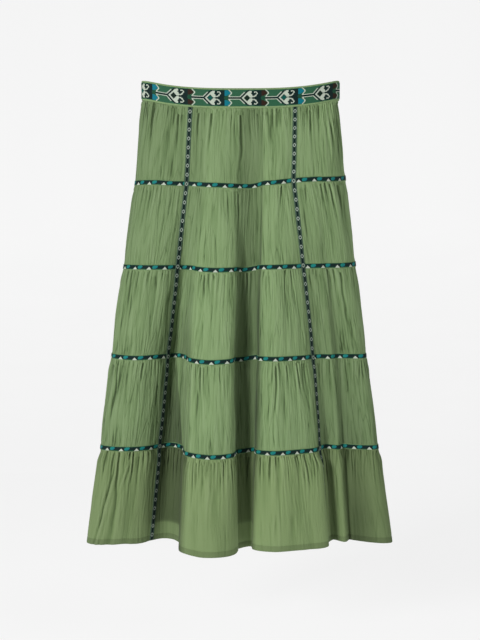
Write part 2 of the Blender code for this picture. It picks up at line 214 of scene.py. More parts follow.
# Main creases one by one, per tier: x where the crease starts as seen from the front, how far below
# the tier's top it starts, its length, width and depth, and how far it leans sideways for each
# millimetre down. A negative depth is a ridge.
Crease = namedtuple("Crease", "x start length width depth lean", defaults=(0.0,))
CREASES = [[Crease(*row) for row in rows] for rows in (
    (
        (-174, 4, 36, 1.7, 1.6),
        (-164, 9, 80, 1.9, 1.8, -0.05),
        (-154, 5, 28, 1.6, 1.3),
        (-137, 30, 80, 5.0, 1.9),
        (-124, 30, 18, 1.4, 1.1),
        (-118, 14, 66, 2.0, 2.4),
        (-80, 9, 58, 2.0, 2.4, -0.04),
        (-56, 9, 76, 2.0, 2.5, -0.05),
        (-50, 7, 40, 1.3, 1.0),
        (-32, 8, 50, 1.7, 0.8),
        (4, 12, 108, 2.2, 2.4),
        (31, 9, 36, 1.6, 1.4),
        (38, 13, 112, 5.5, 1.6),
        (54, 6, 26, 1.4, 1.2),
        (130, 8, 78, 1.9, 1.7, 0.06),
        (138, 6, 24, 1.4, 1.0),
        (148, 6, 28, 1.5, 1.2),
        (162, 30, 68, 2.0, 1.7, 0.05),
        (169, 26, 72, 2.2, 2.4, 0.08),
    ),
    (
        (-1, 13, 74, 2.0, 1.8),
        (79, 6, 52, 2.0, 1.8, -0.12),
        (87, 6, 24, 1.4, 1.2),
        (151, 7, 52, 1.9, 1.8),
        (161, 6, 40, 1.7, 1.2),
        (170, 7, 68, 2.2, 2.5, 0.08),
        (187, 10, 90, 6.5, 2.0),
    ),
    (
        (-209, 6, 24, 1.7, 1.6),
        (-213, 26, 54, 1.9, 1.5),
        (-196, 6, 54, 2.0, 1.9),
        (-174, 5, 40, 1.9, 1.5),
        (-111, 78, 40, 2.2, 1.5),
        (-89, 8, 54, 1.9, 1.8),
        (-77, 7, 36, 1.6, 1.3),
        (-64, 6, 24, 1.4, 1.1),
        (-52, 9, 58, 2.0, 1.8),
        (-73, 88, 58, 2.3, 1.4),
        (-14, 10, 44, 1.7, 1.3),
        (33, 9, 40, 1.7, 1.5),
        (43, 6, 46, 1.9, 1.8),
        (88, 5, 30, 1.7, 1.5),
        (116, 6, 36, 1.7, 1.4),
        (141, 48, 34, 2.0, 1.3),
        (164, 5, 58, 2.0, 1.9),
        (175, 5, 60, 2.0, 2.0, 0.05),
        (189, 11, 92, 2.3, 2.0, 0.05),
    ),
    (
        (-235, 12, 66, 2.2, 1.9),
        (-218, 30, 130, 6.0, -2.4, -0.17),
        (-229, 25, 95, 4.0, 1.8, -0.17),
        (-183, 9, 40, 1.9, 1.6),
        (-103, 10, 70, 2.0, 1.9),
        (-80, 10, 50, 2.2, 2.5),
        (-85, 48, 50, 2.2, 1.5),
        (-26, 7, 22, 1.6, 1.4),
        (68, 13, 125, 2.2, 2.0),
        (82, 50, 85, 6.0, 1.6),
        (90, 11, 44, 2.0, 1.6, 0.08),
        (109, 8, 74, 2.2, 1.8, 0.12),
    ),
    (
        (-260, 4, 62, 4.0, 1.9),
        (-235, 6, 92, 2.3, 2.8),
        (-237, 20, 260, 3.0, -2.5, -0.15),
        (-242, 24, 200, 2.4, 1.8, -0.15),
        (-231, 30, 260, 5.5, 2.8, -0.07),
        (-222, 50, 260, 7.0, -2.1),
        (-206, 6, 85, 2.0, -1.6, -0.22),
        (-210, 6, 60, 2.2, 1.9),
        (-153, 8, 70, 2.2, 2.0),
        (-136, 8, 60, 2.0, 1.8),
        (-122, 8, 50, 1.9, 1.8),
        (-101, 12, 42, 1.9, 1.8),
        (-85, 12, 44, 2.0, 2.0),
        (-86, 78, 108, 6.0, 1.7),
        (-74, 14, 40, 1.7, 1.5),
        (-72, 30, 62, 4.5, 1.9, -0.08),
        (-48, 50, 80, 5.5, 1.5),
        (-42, 8, 46, 1.9, 1.6),
        (-31, 8, 38, 1.7, 1.4),
        (37, 10, 46, 2.0, 1.8),
        (54, 7, 50, 1.9, 1.5),
        (64, 6, 34, 1.7, 1.6),
        (67, 118, 60, 3.0, 1.1),
        (74, 7, 95, 5.2, 2.8),
        (99, 112, 66, 3.4, 1.4),
        (112, 6, 108, 5.6, 2.9),
        (124, 6, 34, 1.7, 1.5),
        (135, 6, 38, 1.9, 1.8),
        (163, 5, 80, 2.3, 2.4),
        (182, 30, 106, 2.4, 1.9),
    ),
)]

# Painted shade, coloured into the cloth where it lies in the shade of its own folds, with the lining
# dark behind it: a fold line, a share of the way to the next one, and how deep the shade is there
# in tier 1, in tier 3, in tier 4 and in tier 5
Shade = namedtuple("Shade", "fold share first third fourth fifth")
SHADES = [Shade(*row) for row in (
    ("side_left", 0.0, 0.60, 0.35, 0.45, 0.45),
    ("a_outer", 0.5, 0.45, 0.30, 0.33, 0.48),
    ("a_shoulder", 0.5, 0.35, 0.25, 0.27, 0.42),
    ("a_shoulder", 0.75, 0.35, 0.75, 0.82, 0.60),
    ("ribbon_left", 0.0, 0.35, 0.32, 0.75, 0.80),
    ("ribbon_left", 0.18, 0.48, 0.36, 1.12, 1.15),
    ("c_foot", 0.30, 0.42, 0.32, 1.15, 1.25),
    ("c_foot", 0.85, 0.25, 0.10, 1.15, 1.30),
    ("c_left", 0.20, 0.15, 0.05, 0.08, 0.32),
    ("c_right", 0.50, 0.20, 0.03, 0.08, 0.40),
    ("c_right", 0.95, 0.60, 0.58, 0.64, 0.50),
    ("d_left", 0.0, 0.66, 0.58, 0.60, 0.50),
    ("e_foot", 0.2, 0.52, 0.85, 0.85, 0.72),
    ("e_foot", 0.8, 0.50, 1.30, 1.40, 1.18),
    ("e_left", 0.0, 0.15, 0.60, 1.25, 0.60),
    ("e_left", 0.2, 0.05, 0.08, 0.70, 0.14),
    ("e_left", 0.35, 0.08, 0.06, 0.06, 0.20),
    ("e_crest", 0.0, 0.08, 0.03, 0.00, 0.20),
    ("e_shoulder", 0.6, 0.08, 0.03, 0.00, 0.23),
    ("ribbon_right", 0.0, 0.10, 0.40, 0.53, 0.50),
    ("f_valley", 0.0, 0.15, 0.48, 0.55, 0.50),
    ("f_crest", 0.3, 0.05, 0.30, 0.35, 0.40),
    ("f_crease", 0.0, 0.05, 0.60, 0.80, 1.00),
    ("g_rise", 0.2, -0.10, 0.25, 0.60, 1.15),
    ("g_rise", 0.9, -0.10, 0.20, 0.50, 0.95),
    ("g_crest", 0.5, -0.10, 0.22, 0.42, 0.70),
    ("side_right", 0.0, -0.10, 0.22, 0.42, 0.65),
)]
SHADE_LEVELS = (-150.0, -400.0, -600.0, -800.0)
# How deep the shade is in the back's valleys, at the same levels
BACK_SHADE = (0.06, 0.45, 0.50, 0.50)
# How it falls off from a valley, and over how many fold lines the sides' shade ends
VALLEY_POWER = 1.5
SIDE_FADE = 0.7
# How much darker the deepest painted shade makes the cloth's colour
SHADE_DARKENS = 0.58
# In tier 4 the shade beside the left ribbon is a wedge, which opens downwards: where its right edge
# is at the tier's top and foot, in fold lines from the ribbon, and what is left of the shade past it
WEDGE_EDGE = (0.90, 1.98)
WEDGE_SOFT = 0.12
PAST_WEDGE = 0.35
# The turned hem: its height and how far inside the cloth it lies
HEM_BAND = 11.0
HEM_INSIDE = 1.1
# How far above the hem's edge and how far inside the cloth each row of the turn is
HEM_TURN = (
    (-0.5, 0.25),
    (-0.5, 0.85),
    (0.6, HEM_INSIDE),
    (HEM_BAND / 2, HEM_INSIDE),
    (HEM_BAND, HEM_INSIDE),
)
# How deep and wide its line of stitches sinks in
HEM_GROOVE = 0.35
HEM_GROOVE_WIDTH = 1.2
# How far its edge is from even, and how far above the edge that starts
HEM_UNEVEN = 1.0
HEM_UNEVEN_REACH = 30.0
# Above the hem ends the lining, whose dark behind the cloth is part of the painted shade in the deep
# folds: a fold line, how far above the hem the lining ends there, and what share of the shade it makes
LINING = (
    ("a_shoulder", 34.0, 0.0),
    ("ribbon_left", 34.0, 0.5),
    ("c_foot", 34.0, 0.48),
    ("c_left", 42.0, 0.0),
    ("c_right", 48.0, 0.0),
    ("d_left", 48.0, 1.0),
    ("e_foot", 48.0, 1.0),
    ("e_left", 48.0, 0.0),
)
# The shade starts to go this far above the lining's end, and is gone this much lower
LINING_PAST = 5.0
LINING_SOFT = 8.0

# Charts of the woven ribbons, one letter for each thread crossing. The waist ribbon's chart is
# its upper half with the middle row last, and its heads change colour from one to the next.
WAIST_CHART = (
    "......................................................cc....",
    ".........................kkkkkk.....kkkkkkkkkkkkhhhhhh.cc...",
    ".......................kkkkkcccckkkkkkkkkkkkkkkkhhhhhhh.cc..",
    "......................kkkkcccccckkkkcccckkkkkkkkhhhhhhhh.cc.",
    "...................cckkkkccccccckkkkcckcckkkkkkkhhhhhhhhh.cc",
    "..................cckkkkccccccckkkkkkkkkcckkkkkkhhhhhhhhhhcc",
    ".................cckkkkcccccccckkkkkkkkkcckkkkkkhhhhhhhhh.cc",
    "................cckkkkcccccccccckkkkkkkcckkkkkkkhhhhhhhh.cc.",
    "...............cckkkkccckcccccccckkkkkcckkkkkkkkhhhhhh..cc..",
    "..............cckkkkccckkkccccccckkkkccckkkkkkkkhhhh...cc...",
    ".............cckkkkccckdddkccccccckcccckkkkkkkkkggggg..cc...",
    "cccccccccccccckkkkccckdddddkccccccccckkkkkkkkkkkggggggcccccc",
    "kkkkkkkkkkkkkkkkkccckdddddddkcccckkkkkkkkkkkkkkgggggggkkkkkk",
    "kkkkkkkkkkkkkkkkccckdddddddddkkkkkkkkkkkkkkkkkkgggggggkkkkkk",
)
NARROW_CHART = (
    "xxxxxxxxxxxxxxxxxxxxxxxxxxxxxxxxxxxx",
    "gggggggggggggggggggggggggggggggggggg",
    "kkkkkkkkkkkkkkkkkkttttttttkkkkkkkkkk",
    "kkkkkkkkkkkkkkkktttttttttttkkkkkkkkk",
    "kkkkkkkkkkkkkkkttttttttttttkkkkkkkkk",
    "kkkkkkncnkkkkkktttttttttbbbkkkkkkkkk",
    "kkkkkncccnkkkkktttttttbbbbkkkkkkkkkk",
    "kkkkncccccnkkkktttttbbbbbkkkkkkkkkkk",
    "kkkncccccccnkkkktttbbbbkkkkkkkkkkkkk",
    "kkncccccccccnkkggggggggggggggggggggg",
    "gncccccccccccngggggggggggggggggggggg",
    "xxxxxxxxxxxxxxxxxxxxxxxxxxxxxxxxxxxx",
)
# The upright ribbons have rings, each the same above and below, with plain rows between them
UPRIGHT_PLAIN = ("ssskkkkkksss",)
UPRIGHT_RING = (
    "ssskkwwkksss",
    "sskkwwwwkkss",
    "ssswwwwwwsss",
    "sswwwkkwwwss",
    "sswwkkkkwwss",
)
UPRIGHT_CHART = 6 * UPRIGHT_PLAIN + UPRIGHT_RING + UPRIGHT_RING[-1:] + UPRIGHT_RING[::-1]
UPRIGHT_CHART += 7 * UPRIGHT_PLAIN
# How long one repeat of each chart is, and how many threads into it a ribbon starts
WAIST_REPEAT = 67.4
WAIST_START = 12
NARROW_REPEAT = 29.0
NARROW_START = 11
UPRIGHT_REPEAT = 17.5
# The weaves' pitches in metres, and how uneven the threads' colours are
WAIST_PITCH = 0.00116
NARROW_PITCH = 0.00083
COTTON_PITCH = 0.00062
THREAD_UNEVEN = 0.05
# Thread colours as linear red, green and blue
THREADS = {
    ".": (0.020, 0.082, 0.042),
    "k": (0.003, 0.013, 0.012),
    "c": (0.370, 0.420, 0.345),
    "w": (0.260, 0.315, 0.262),
    "x": (0.120, 0.190, 0.088),
    "s": (0.058, 0.100, 0.066),
    "g": (0.008, 0.052, 0.026),
    "d": (0.003, 0.062, 0.048),
    "h": (0.002, 0.125, 0.165),
    "n": (0.016, 0.012, 0.008),
    "t": (0.007, 0.150, 0.128),
    "b": (0.007, 0.120, 0.160),
}
SECOND_HEAD = (0.022, 0.010, 0.006)
SECOND_DIAMOND = (0.003, 0.013, 0.007)

# Linear colours of the cotton, with painted shade and light: painted shade in its deepest creases
# and in its hollows, its own colour between them, painted light on its ridges. The lowest tier is a
# little warmer.
COTTON_CREASE_SHADE = (0.075, 0.120, 0.048)
COTTON_HOLLOW_SHADE = (0.150, 0.232, 0.098)
COTTON_MID = (0.205, 0.300, 0.138)
COTTON_RIDGE_LIGHT = (0.245, 0.345, 0.172)
HEM_TINT = (1.03, 0.985, 0.93)

CAMERA_DISTANCE = 2000.0
CAMERA_HEIGHT = -280.3
CAMERA_SIDE = -0.9
CAMERA_PITCH = 4.30
CAMERA_LENS = 59.2
FLOOR_HEIGHT = -1120.0


def straight_between(height, levels, values):
    """The value at a height on straight lines through (level, value), with the levels going down."""
    return np.interp(-height, [-level for level in levels], values)


def smooth_between(height, levels, values):
    """The value at a height on a monotone cubic through (level, value), with the levels going down."""
    if height >= levels[0]:
        return values[0]
    steps = np.diff(levels)
    slopes = np.diff(values) / steps
    tangents = [slopes[0]]
    for before, after in zip(slopes[:-1], slopes[1:]):
        same_way = before * after > 0
        tangents.append(2 * before * after / (before + after) if same_way else 0.0)
    tangents.append(slopes[-1])
    i = min(int(np.searchsorted(-np.array(levels), -height, side="right")) - 1, len(steps) - 1)
    t = (height - levels[i]) / steps[i]
    return (
        values[i] * (1 + 2 * t) * (1 - t) ** 2
        + values[i + 1] * t * t * (3 - 2 * t)
        + steps[i] * (tangents[i] * t * (1 - t) ** 2 + tangents[i + 1] * t * t * (t - 1))
    )


def waist_depth(x):
    """How far the waist's flattened oval lies before or behind the sides at x."""
    share = min(1.0, abs(x) / WAIST_HALF_WIDTH)
    return WAIST_HALF_DEPTH * (1 - share**WAIST_SQUARENESS) ** (1 / WAIST_SQUARENESS)


def fold_point(i, height):
    """x, y and drop of fold line i at a height."""
    i %= len(FOLDS)
    fold = FOLDS[i]
    is_front = i <= RIGHT_SIDE
    dip = FRONT_DIP if is_front else BACK_DIP
    y_waist = (-1 if is_front else 1) * waist_depth(fold.x_waist)
    drop_waist = dip * (1 - abs(fold.x_waist / WAIST_HALF_WIDTH) ** DIP_POWER)
    x = straight_between(height, LEVELS, (fold.x_waist, fold.x_seam1, fold.x_seam3, fold.x_hem))
    y = smooth_between(height, LEVELS, (y_waist, fold.y_seam1, fold.y_seam3, fold.y_hem))
    drops = (drop_waist, fold.drop_seam1, fold.drop_seam3, fold.drop_hem)
    return np.array((x, y, smooth_between(height, LEVELS, drops)))


def spline_piece(p0, p1, p2, p3):
    """Points on a centripetal Catmull-Rom spline from p1 to p2."""
    knots = [0.0]
    for a, b in ((p0, p1), (p1, p2), (p2, p3)):
        knots.append(knots[-1] + np.sqrt(np.linalg.norm((b - a)[:2])))
    t0, t1, t2, t3 = knots
    t = np.linspace(t1, t2, SPLINE_SAMPLES + 1)[:, None]
    a1 = (t1 - t) / (t1 - t0) * p0 + (t - t0) / (t1 - t0) * p1
    a2 = (t2 - t) / (t2 - t1) * p1 + (t - t1) / (t2 - t1) * p2
    a3 = (t3 - t) / (t3 - t2) * p2 + (t - t2) / (t3 - t2) * p3
    b1 = (t2 - t) / (t2 - t0) * a1 + (t - t0) / (t2 - t0) * a2
    b2 = (t3 - t) / (t3 - t1) * a2 + (t - t1) / (t3 - t1) * a3
    return (t2 - t) / (t2 - t1) * b1 + (t - t1) / (t2 - t1) * b2


def span(i, height):
    """The points from fold line i to the next one, and their distances along the cloth."""
    piece = spline_piece(*(fold_point(i + k, height) for k in (-1, 0, 1, 2)))
    steps = np.linalg.norm(np.diff(piece[:, :2], axis=0), axis=1)
    return piece, np.concatenate(([0.0], np.cumsum(steps)))


def on_spans(height, places):
    """Points on the cloth's middle at a height. places holds (span, shares of its length)."""
    found = []
    for i, shares in places:
        piece, along = span(i, height)
        at = shares * along[-1]
        found.append(np.column_stack([np.interp(at, along, piece[:, k]) for k in range(3)]))
    points = np.concatenate(found)
    points[:, 2] = height - points[:, 2]
    return points


def outward_of(before, after):
    """Level directions that point out of the skirt, from the points before and after each."""
    along = (after - before)[:, :2]
    along /= np.linalg.norm(along, axis=1)[:, None]
    return np.column_stack((along[:, 1], -along[:, 0], np.zeros(len(along))))


def ring(height, places):
    """The whole round at a height: its points, its outward directions and its bends' radii."""
    points = on_spans(height, places)
    before, after = np.roll(points, 1, axis=0), np.roll(points, -1, axis=0)
    outward = outward_of(before, after)
    first, second = (points - before)[:, :2], (after - points)[:, :2]
    cross = np.abs(first[:, 0] * second[:, 1] - first[:, 1] * second[:, 0])
    lengths = np.linalg.norm(first, axis=1), np.linalg.norm(second, axis=1)
    turn = np.arcsin(np.minimum(cross / (lengths[0] * lengths[1]), 1.0))
    radii = (lengths[0] + lengths[1]) / 2 / np.maximum(turn, 1e-6)
    return points, outward, radii


def round_about(points):
    """Distances along a closed ring of points, and its whole length."""
    steps = np.linalg.norm((np.roll(points, -1, axis=0) - points)[:, :2], axis=1)
    along = np.concatenate(([0.0], np.cumsum(steps)))
    return along[:-1], along[-1]


def rise(distance, over):
    """From 0 to 1 as a distance goes from 0 to over, smooth at both ends."""
    t = np.clip(distance / over, 0.0, 1.0)
    return t * t * (3 - 2 * t)


def noise(u, v, width, length, around, random):
    """Soft lumps from -1 to 1 on the cloth, width across and length down, closed round it."""
    columns = max(3, round(around / width))
    rows = int(v.max() / length) + 3
    lattice = random.uniform(-1, 1, (rows, columns))
    across, down = u / around * columns, v / length + random.uniform(0, 1)
    c, r = np.floor(across).astype(int), np.floor(down).astype(int)
    s, t = across - c, down - r
    s, t = s * s * (3 - 2 * s), t * t * (3 - 2 * t)
    r = np.clip(r, 0, rows - 2)
    top = lattice[r, c % columns] * (1 - s) + lattice[r, (c + 1) % columns] * s
    low = lattice[r + 1, c % columns] * (1 - s) + lattice[r + 1, (c + 1) % columns] * s
    return top * (1 - t) + low * t


def sink(field, u, v, around, at, crease):
    """Sinks one crease into a field of heights, with a low ridge on each side of it."""
    reach = 5 * crease.width + abs(crease.lean) * crease.length + 8
    off = (u[0] - at + around / 2) % around - around / 2
    near = np.abs(off) < reach
    off = (u[:, near] - at + around / 2) % around - around / 2
    down = (v - crease.start)[:, None]
    share = np.clip(down / crease.length, 0.0, 1.0)
    # A crease is narrow and deep at its start, then wider and shallower
    across = (off - crease.lean * down) / (crease.width * (0.85 + 0.5 * share))
    start = 3.0 if crease.start < AT_SEAM else 0.3 * crease.length
    fade = rise(down, start) * (1 - share) ** 0.8 * (1 - share**4)
    shape = np.exp(-(across**2)) - 0.42 * np.exp(-(((np.abs(across) - 1.9) / 0.8) ** 2))
    field[:, near] -= crease.depth * fade * shape


def scattered(random, around, flat, kind):
    """Creases of one kind at uneven places round the cloth, most of them short and shallow."""
    count = round(around / kind.spacing)
    for k in range(count):
        at = (k + random.uniform(-0.5, 0.5)) / count * around
        size = random.uniform() ** 1.8
        length = kind.lengths[0] + (kind.lengths[1] - kind.lengths[0]) * size
        share = 0.5 * size + 0.5 * random.uniform()
        depth = kind.depths[0] + (kind.depths[1] - kind.depths[0]) * share
        first, last = kind.starts
        start = flat + first + (last - first) * random.uniform() ** (3 if last < AT_SEAM else 1)
        width = random.uniform(*kind.widths)
        yield at, Crease(0, start, length, width, depth, random.uniform(-0.05, 0.05))


def seen_column(points, x):
    """The column of the front that shows at x, as the camera sees it."""
    seen = points[:, 0] * CAMERA_DISTANCE / (CAMERA_DISTANCE + points[:, 1])
    close = np.flatnonzero(np.abs(seen - x) < 2.5)
    return close[np.argmin(points[close, 1])]


def crinkled_at(tier, u, v, around, random):
    """How crinkled a tier's cloth is, by row and column: most of all towards the sides."""
    down = np.interp(v, (CRINKLED_FROM, CRINKLED_TO), CRINKLED[tier])
    from_side = np.abs(np.cos(2 * np.pi * u / around))
    return down * (0.85 + 0.35 * from_side**2) * (1 + 0.4 * noise(u, v, 34.0, 60.0, around, random))


def tier_relief(tier, u, v, around, rings, right):
    """How far a tier's cloth stands out of its middle surface, by row and column, how crinkled it
    is there, and how far it swells out at each row."""
    random = np.random.default_rng(TIER_SEED + tier)
    full_u = np.broadcast_to(u, (len(v), len(u)))
    full_v = np.broadcast_to(v[:, None], full_u.shape)
    warped = full_u
    for width, length, far in WANDER:
        warped = warped + far * noise(full_u, full_v, width, length, around, random)
    crinkled = crinkled_at(tier, full_u, full_v, around, random)
    relief = np.zeros(full_u.shape)
    for width, length, height in CRINKLES:
        relief += height * crinkled * noise(warped, full_v, width, length, around, random)
    for width, length, height in SOFT_CRINKLES:
        relief += height * noise(warped, full_v, width, length, around, random)
    for width, length, depth in SHARP_CRINKLES:
        ridges = 1 - np.abs(noise(warped, full_v, width, length, around, random))
        relief -= depth * crinkled * ridges**6
    flat = FLAT_BY_SEAM if tier else FLAT_BY_BAND
    for kind in (GATHERS, SOFT_FOLDS, FINE_LINES):
        strength = GATHER_STRENGTHS[tier] if kind is GATHERS else 1.0
        for at, crease in scattered(random, around, flat, kind):
            sink(relief, warped, v, around, at, crease._replace(depth=strength * crease.depth))
    for crease in CREASES[tier]:
        row = int(np.searchsorted(v, crease.start))
        at = u[seen_column(rings[row][0], crease.x)]
        longer = crease.length * HAND_LENGTH
        deeper = crease.depth * HAND_STRENGTH
        sink(relief, warped, v, around, at, crease._replace(length=longer, depth=deeper))
    for at in (0.0, u[right]):
        off = (u - at + around / 2) % around - around / 2
        relief -= SIDE_SEAM_DEPTH * np.exp(-((off / SIDE_SEAM_WIDTH) ** 2))[None, :]
    relief *= np.array([np.minimum(1.0, r[2] / CALM_RADIUS) for r in rings])
    bottom = TIER_EDGES[tier] - TIER_EDGES[tier + 1]
    relief *= rise(v - flat, FADE_BY_SEAM)[:, None]
    if tier < len(SEAMS):
        relief *= rise(bottom - FLAT_BY_SEAM - v, 4 * FADE_BY_SEAM)[:, None]
    return relief, crinkled, swell_at(tier, v)


def sharp_part(relief, u):
    """What is left of the relief when its wider folds are taken away: only its narrow creases."""
    reach = round(NARROW_REACH / np.median(np.diff(u)))
    wide = sum(np.roll(relief, k, axis=1) for k in range(-reach, reach + 1)) / (2 * reach + 1)
    return relief - wide


def swell_share(tier, at, below):
    """What share of the swell shows, at depths below a tier's top and places in fold lines."""
    knots = [NAMES.index(row[0]) for row in SWELL_SHARES]
    upper, top, hem = (np.interp(at, knots, column) for column in list(zip(*SWELL_SHARES))[1:])
    if tier < len(SEAMS):
        return np.broadcast_to(upper, (len(below), len(at)))
    down = np.clip(below / (TIER_EDGES[-2] - TIER_EDGES[-1]), 0.0, 1.0)[:, None]
    return top * (1 - down) + hem * down


def swell_at(tier, below):
    """How far a tier's cloth swells out, this far below its top."""
    bottom = TIER_EDGES[tier] - TIER_EDGES[tier + 1]
    swell = rise(below - FLAT_BY_SEAM, SWELL_RISE)
    if tier < len(SEAMS):
        swell = swell * rise(bottom - below, SWELL_FALL)
    return SWELLS[tier] * swell


def add_mesh(name, vertices, closed, material, uvs, colours=None, **fields):
    """A grid of quads as an object. vertices is rows x columns x 3, and uvs the lines' own values."""
    rows, columns = vertices.shape[:2]
    r, c = np.meshgrid(
        np.arange(rows - 1), np.arange(columns if closed else columns - 1), indexing="ij"
    )
    r, c = r.ravel(), c.ravel()
    n = (c + 1) % columns
    here, below = r * columns, (r + 1) * columns
    faces = np.column_stack((here + c, below + c, below + n, here + n))
    mesh = bpy.data.meshes.new(name)
    mesh.from_pydata((vertices.reshape(-1, 3) * MM).tolist(), [], faces.tolist())
    u, v = uvs
    corners = np.stack(
        (
            np.column_stack((u[c], u[c], u[c + 1], u[c + 1])),
            np.column_stack((v[r], v[r + 1], v[r + 1], v[r])),
        ),
        axis=-1,
    )
    layer = mesh.uv_layers.new(name="cloth")
    layer.data.foreach_set("uv", (corners.reshape(-1) * MM).astype(np.float32))
    if colours is not None:
        shown = mesh.color_attributes.new("thread", "FLOAT_COLOR", "CORNER")
        four = np.repeat(np.column_stack((colours, np.ones(len(colours)))), 4, axis=0)
        shown.data.foreach_set("color", four.astype(np.float32).ravel())
    for field, values in fields.items():
        shown = mesh.attributes.new(field, "FLOAT", "POINT")
        shown.data.foreach_set("value", values.astype(np.float32).ravel())
    mesh.materials.append(material)
    mesh.shade_smooth()
    obj = bpy.data.objects.new(name, mesh)
    bpy.context.scene.collection.objects.link(obj)
    return obj


def row_depths(deep):
    """How far below a tier's top each of its rows is."""
    rows = []
    ends = [start for start, _ in ROW_STEPS[1:]] + [deep]
    for (start, step), end in zip(ROW_STEPS, ends):
        rows.append(np.linspace(start, end, round((end - start) / step), endpoint=False))
    return np.concatenate((*rows, [deep]))


def shade_of(places, heights):
    """How deep the painted shade is at each column and row, from the table of shades."""
    at = np.concatenate([i + shares for i, shares in places])
    knots = [NAMES.index(s.fold) + s.share for s in SHADES]
    across = np.array([np.interp(at, knots, depths) for depths in zip(*(s[2:] for s in SHADES))])
    # The back is shaded in its valleys only
    for i, shares in places:
        if i >= RIGHT_SIDE:
            valley = [float("valley" in FOLDS[k % len(FOLDS)].name) for k in (i, i + 1)]
            depth = (valley[0] * (1 - shares) + valley[1] * shares) ** VALLEY_POWER
            fade = rise(at[(at >= i) & (at < i + 1)] - RIGHT_SIDE, SIDE_FADE)
            edge = across[:, [np.searchsorted(at, RIGHT_SIDE)]] * (1 - fade)
            across[:, (at >= i) & (at < i + 1)] = edge + np.outer(BACK_SHADE, depth)
    # Back to the left side's shade round the last corner
    last = rise(at - (len(FOLDS) - SIDE_FADE), SIDE_FADE)
    across = across * (1 - last) + across[:, :1] * last
    levels = np.eye(len(SHADE_LEVELS))
    shares = np.array([[straight_between(h, SHADE_LEVELS, row) for row in levels] for h in heights])
    knots = [NAMES.index(name) for name, _, _ in LINING]
    ends, made = (np.interp(at, knots, column) for column in list(zip(*LINING))[1:])
    unlined = rise(ends[None, :] + LINING_PAST - (heights - HEM)[:, None], LINING_SOFT)
    shade = shares @ across * (1 - made[None, :] * unlined)
    ribbon = NAMES.index("ribbon_left")
    top, bottom = TIER_EDGES[3:5]
    edge = ribbon + np.interp(-heights, (-top, -bottom), WEDGE_EDGE)
    past = rise(at[None, :] - edge[:, None], WEDGE_SOFT) * (at < NAMES.index("c_left"))[None, :]
    in_tier = (heights < top) & (heights > bottom)
    return shade * (1 - (1 - PAST_WEDGE) * past * in_tier[:, None])


def make_tier(tier, material):
    """One tier as a single sheet, closed round the skirt."""
    top, bottom = TIER_EDGES[tier], TIER_EDGES[tier + 1]
    deep = top - bottom
    places = []
    for i in range(len(FOLDS)):
        step = FRONT_STEP if i < RIGHT_SIDE else BACK_STEP
        count = max(2, round(span(i, bottom)[1][-1] / step))
        places.append((i, np.arange(count) / count))
    right = sum(len(shares) for _, shares in places[:RIGHT_SIDE])
    v = row_depths(deep)
    is_hem = tier == len(SEAMS)
    if is_hem:
        v = np.sort(np.concatenate((v, deep - HEM_BAND + np.array((-1.0, 0.0, 1.0)))))
    rings = [ring(top - below, places) for below in v]
    u, around = round_about(rings[len(v) // 2][0])
    relief, crinkled, swell = tier_relief(tier, u, v, around, rings, right)
    if is_hem:
        relief -= HEM_GROOVE * np.exp(-(((v - deep + HEM_BAND) / HEM_GROOVE_WIDTH) ** 2))[:, None]
    for fold in UPRIGHTS:
        at = u[sum(len(shares) for _, shares in places[:fold])]
        relief *= rise(np.abs(u - at) - FLAT_BY_UPRIGHT, FADE_BY_UPRIGHT)[None, :]
    at = np.concatenate([i + shares for i, shares in places])
    lifts = relief + swell[:, None] * swell_share(tier, at, v)
    vertices = np.array([r[0] + r[1] * lift[:, None] for r, lift in zip(rings, lifts)])
    fields = {
        "relief": relief,
        "creased": sharp_part(relief, u),
        "crinkled": crinkled,
        "shade": shade_of(places, top - v),
    }
    if is_hem:
        # The hem's edge is not quite even
        random = np.random.default_rng(HEM_SEED)
        uneven = HEM_UNEVEN * noise(u, v[:1], 26.0, 40.0, around, random)
        vertices[:, :, 2] += uneven[None, :] * rise(v - deep + HEM_UNEVEN_REACH, HEM_UNEVEN_REACH)[:, None]
        # The cloth turns in at the hem and goes up inside to the line of stitches
        inside = []
        for up, sink_by in HEM_TURN:
            row = int(np.argmin(np.abs(v - (deep - max(up, 0.0)))))
            lifted = vertices[row] - rings[row][1] * sink_by
            lifted[:, 2] = vertices[row][:, 2] + (up - (deep - v[row]))
            inside.append(lifted)
        vertices = np.concatenate((vertices, inside))
        v = np.concatenate((v, [deep - max(up, 0.0) for up, _ in HEM_TURN]))
        for field, values in fields.items():
            fields[field] = np.concatenate((values, np.repeat(values[-1:], len(HEM_TURN), axis=0)))
    uvs = np.append(u, around), v
    piece = add_mesh(f"cotton_tier_{tier + 1}", vertices, True, material, uvs, **fields)
    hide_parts(f"tier_{tier + 1}_front", f"tier_{tier + 1}_back")
    return piece, around


def even_places(height, step):
    """Places one step apart along the cloth, all round the skirt at a height, and their count."""
    lengths = [span(i, height)[1][-1] for i in range(len(FOLDS))]
    ends = np.cumsum([0.0, *lengths])
    count = round(ends[-1] / step)
    at = np.arange(count) * ends[-1] / count
    places = []
    for i, length in enumerate(lengths):
        inside = at[(at >= ends[i]) & (at < ends[i + 1])]
        places.append((i, (inside - ends[i]) / length))
    return places, count


def chart_colours(chart, rows, columns, start, second, random):
    """The thread colour of each cell, row by row, from a chart that repeats along the ribbon."""
    wide = len(chart[0])
    colours = np.empty((rows, columns, 3))
    for r in range(rows):
        for c in range(columns):
            turn, place = divmod(c + start, wide)
            letter = chart[r % len(chart)][place]
            colour = THREADS[letter]
            if second and turn % 2 and letter in second:
                colour = second[letter]
            colours[r, c] = colour
    shade = random.normal(1.0, THREAD_UNEVEN, (rows, columns, 1))
    return (colours * shade).reshape(-1, 3)


def across_ribbon(rows):
    """How far each line across a ribbon stands off: its edges turn down to the cloth."""
    off = np.full(rows + 1, 1.0)
    off[[0, -1]] = 0.42
    off[[1, -2]] = 0.92
    return off


